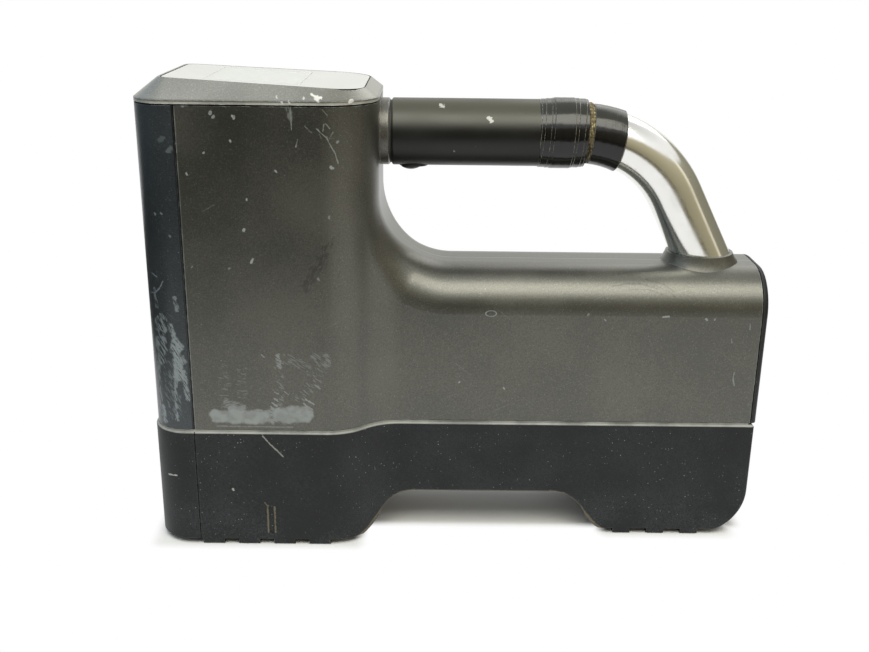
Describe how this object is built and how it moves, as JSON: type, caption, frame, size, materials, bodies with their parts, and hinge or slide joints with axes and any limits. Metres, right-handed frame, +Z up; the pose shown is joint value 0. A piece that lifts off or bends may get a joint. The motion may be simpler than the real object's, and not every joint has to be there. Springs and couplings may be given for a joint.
{
  "type": "drill tracking receiver",
  "caption": "Walkover drill tracking receiver: tall display tower, low battery body, bent tube handle with grip and trigger, and a dark treaded boot arched between its feet.",
  "frame": {"origin": "centre of the underside of the bounding box, on the floor that the feet stand on", "axes": "+X along the length towards the battery end, +Z up, the display tower towards -X"},
  "size_m": [0.358, 0.1064, 0.2736],
  "materials": {
    "shell_paint": "worn metallic paint",
    "cover_paint": "worn metallic paint",
    "boot_plastic": "scuffed matte",
    "seal_rubber": "matte",
    "bezel_paint": "worn satin paint",
    "panel_plastic": "satin",
    "window_glass": "clear",
    "display_plastic": "grey green",
    "board_green": "solder mask",
    "screw_steel": "plain",
    "infrared_plastic": "dark tint",
    "tube_aluminium": "satin, worn",
    "collar_paint": "painted, worn at the edge",
    "ring_rubber": "matte",
    "grip_rubber": "matte",
    "plate_steel": "plain",
    "tape_vinyl": "stretched vinyl",
    "trigger_plastic": "satin",
    "spring_steel": "drawn wire",
    "switch_plastic": "moulded",
    "battery_plastic": "moulded",
    "cap_plastic": "scuffed matte",
    "cell_wrap": "shrink wrap",
    "contact_brass": "plain",
    "lock_plastic": "moulded",
    "bay_plastic": "moulded",
    "chip_plastic": "moulded",
    "standoff_brass": "turned",
    "antenna_rubber": "moulded",
    "ferrite": "sintered",
    "coil_copper": "enamelled wire"
  },
  "bodies": {
    "housing": {"left_upper_half": "shell_paint", "right_upper_half": "shell_paint", "front_upper_cover": "cover_paint", "lower_boot": "boot_plastic", "front_lower_cover": "boot_plastic", "belt_seal": "seal_rubber", "front_seal": "seal_rubber", "rear_seal": "seal_rubber", "bezel_seal": "seal_rubber", "display_bezel": "bezel_paint", "top_panel": "panel_plastic", "display_window": "window_glass", "lcd_module": "display_plastic", "display_board": "board_green", "display_screws": "screw_steel", "bezel_screws": "screw_steel", "infrared_window": "infrared_plastic", "handle_tube": "tube_aluminium", "handle_collar": "collar_paint", "grip_end_ring": "ring_rubber", "handle_grip": "grip_rubber", "handle_front_nut": "screw_steel", "handle_foot_flange": "plate_steel", "handle_screws": "screw_steel", "tape_wrap_front": "tape_vinyl", "tape_wrap_rear": "tape_vinyl", "trigger_bezel": "trigger_plastic", "trigger_spring": "spring_steel", "trigger_switch": "switch_plastic", "switch_bracket": "plate_steel", "battery_bay": "bay_plastic", "contact_block": "switch_plastic", "main_board": "board_green", "board_chips": "chip_plastic", "radio_shield": "plate_steel", "board_standoffs": "standoff_brass", "board_screws": "screw_steel", "beeper": "switch_plastic", "telemetry_antenna": "antenna_rubber", "antenna_frame": "bay_plastic", "ferrite_rod_x": "ferrite", "ferrite_rod_y": "ferrite", "ferrite_rod_z": "ferrite", "antenna_coil_x": "coil_copper", "antenna_coil_y": "coil_copper", "antenna_coil_z": "coil_copper", "base_screws": "screw_steel", "front_cover_screws": "screw_steel"},
    "trigger": {"trigger_button": "trigger_plastic"},
    "battery_pack": {"battery_case": "battery_plastic", "battery_end_cap": "cap_plastic", "battery_cells": "cell_wrap", "battery_contacts": "contact_brass"},
    "battery_lock": {"battery_lock": "lock_plastic", "lock_cam": "plate_steel"}
  },
  "joints": [
    {"name": "trigger_press", "type": "slide", "parent": "housing", "child": "trigger", "axis": [0, 0, 1], "range_m": [0, 0.002], "stiffness_N_per_m": 400, "springref_m": -0.003, "deforming": ["trigger_spring"]},
    {"name": "battery_slide", "type": "slide", "parent": "housing", "child": "battery_pack", "axis": [1, 0, 0], "range_m": [0, 0.12]},
    {"name": "lock_turn", "type": "hinge", "parent": "battery_pack", "child": "battery_lock", "pos_m": [0.1776, 0, 0.1514], "axis": [1, 0, 0], "range_deg": [0, 90]}
  ]
}
